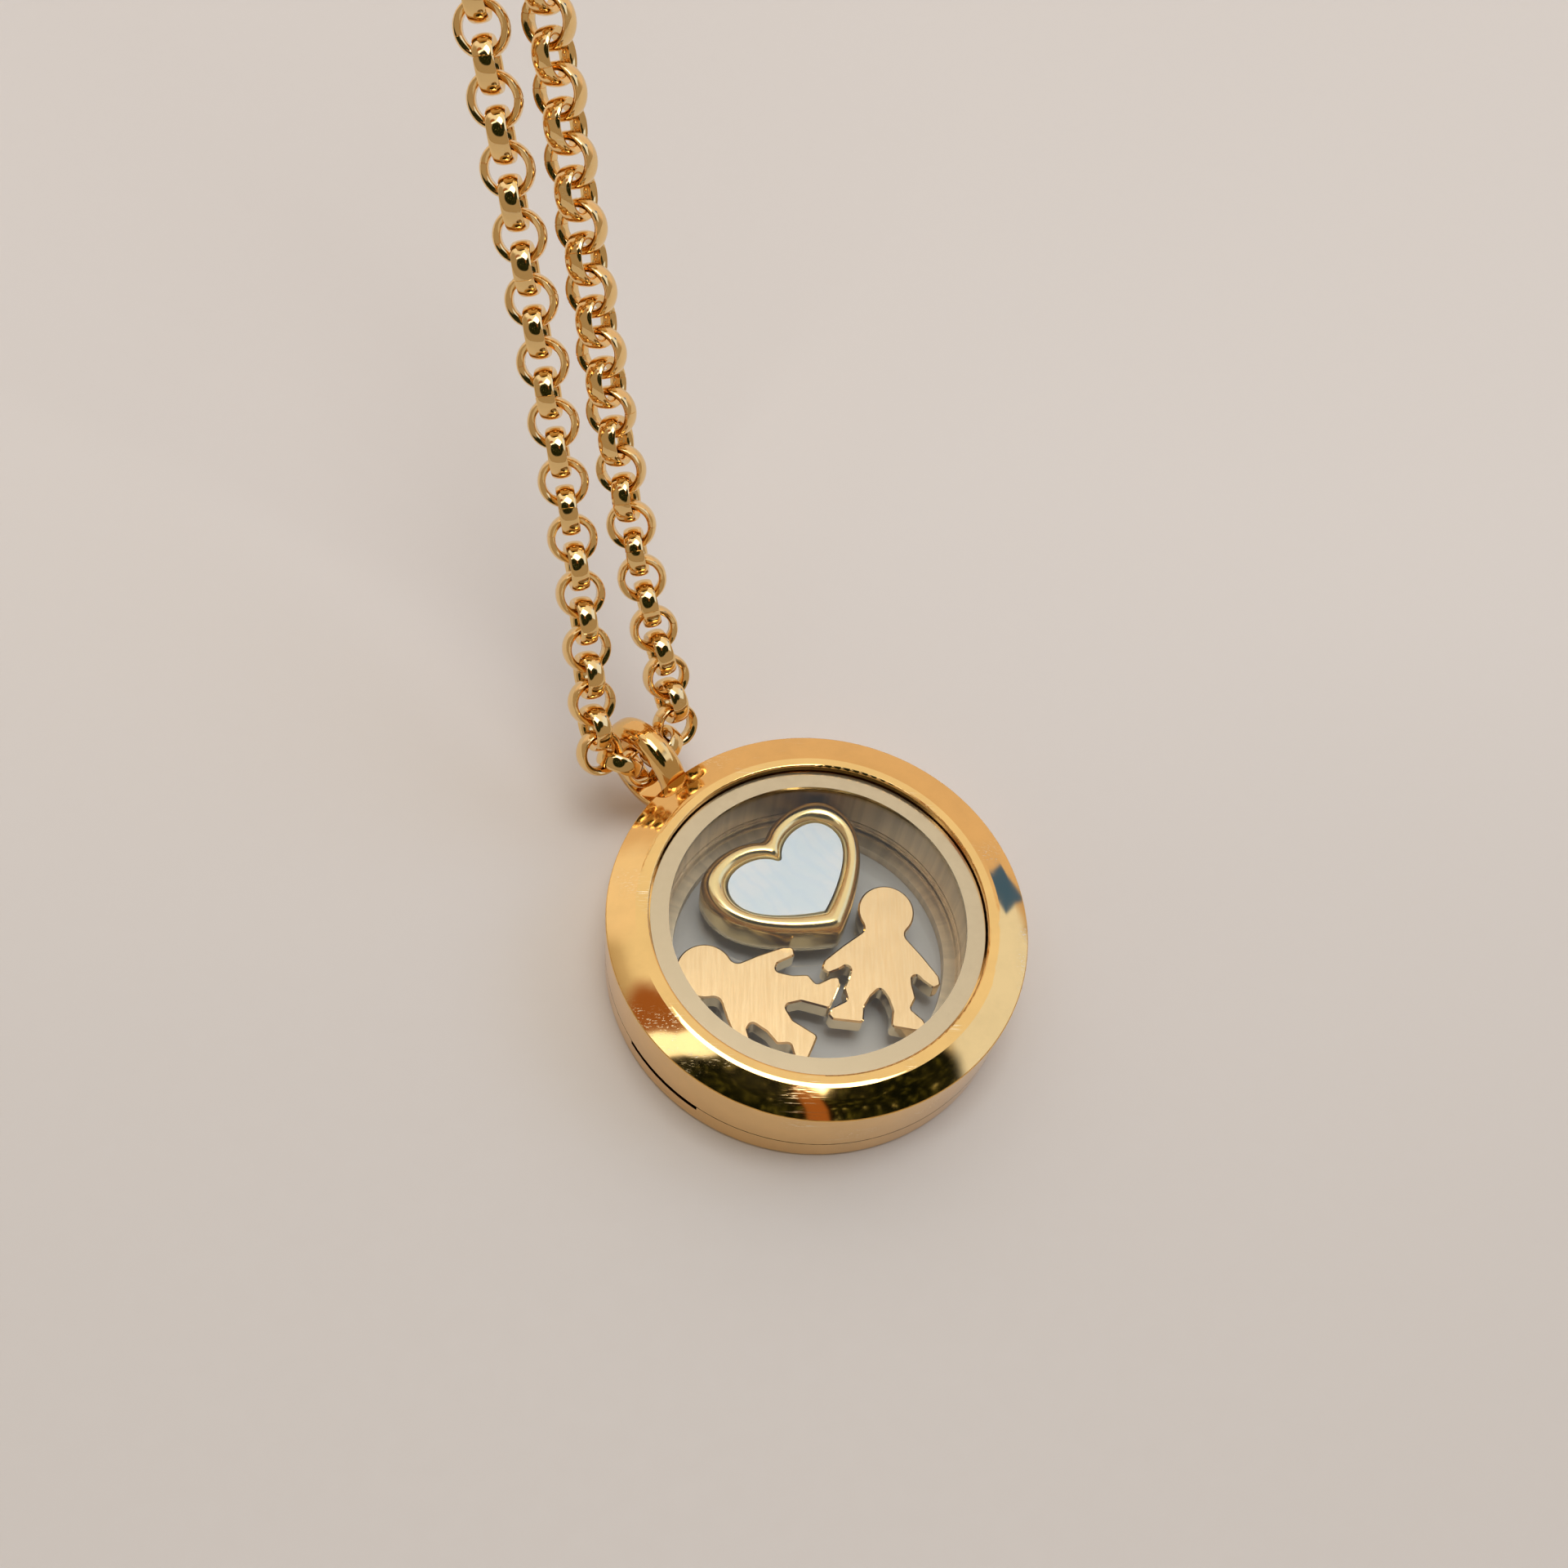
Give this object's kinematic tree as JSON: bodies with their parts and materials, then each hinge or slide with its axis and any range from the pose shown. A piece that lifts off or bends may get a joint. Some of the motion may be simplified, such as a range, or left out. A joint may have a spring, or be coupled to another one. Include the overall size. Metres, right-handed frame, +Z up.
{
  "type": "floating locket necklace",
  "caption": "Round glass-fronted floating locket with loose charms inside, on a belcher chain through a fixed bail.",
  "frame": {"origin": "the point at the top of the chain loop that the necklace hangs from", "axes": "+Z up and along the locket's axis, out of its front window; the chain rises towards +Y and -X"},
  "size_m": [0.0905, 0.1427, 0.1778],
  "materials": {
    "polished_gold": "mirror polished gold plating",
    "chain_gold": "polished gold plating",
    "brushed_gold": "finely brushed gold plating",
    "cream_ring": "satin cream",
    "window": "clear, polished",
    "pearl": "polished mother of pearl"
  },
  "bodies": {
    "necklace": {"front_frame": "polished_gold", "front_glass": "window", "glass_ring": "cream_ring", "hinge_pin": "polished_gold", "chain_right": "chain_gold", "chain_left": "chain_gold", "clasp": "chain_gold"},
    "rear_cover": {"back_cover": "polished_gold", "back_glass": "window", "heart_frame": "polished_gold", "heart_pearl": "pearl", "boy_charm": "brushed_gold", "girl_charm": "brushed_gold"}
  },
  "joints": [
    {"name": "cover_hinge", "type": "hinge", "parent": "necklace", "child": "rear_cover", "pos_m": [0.06517, -0.11399, -0.17375], "axis": [0.7071, -0.7071, 0], "range_deg": [0, 100]}
  ]
}
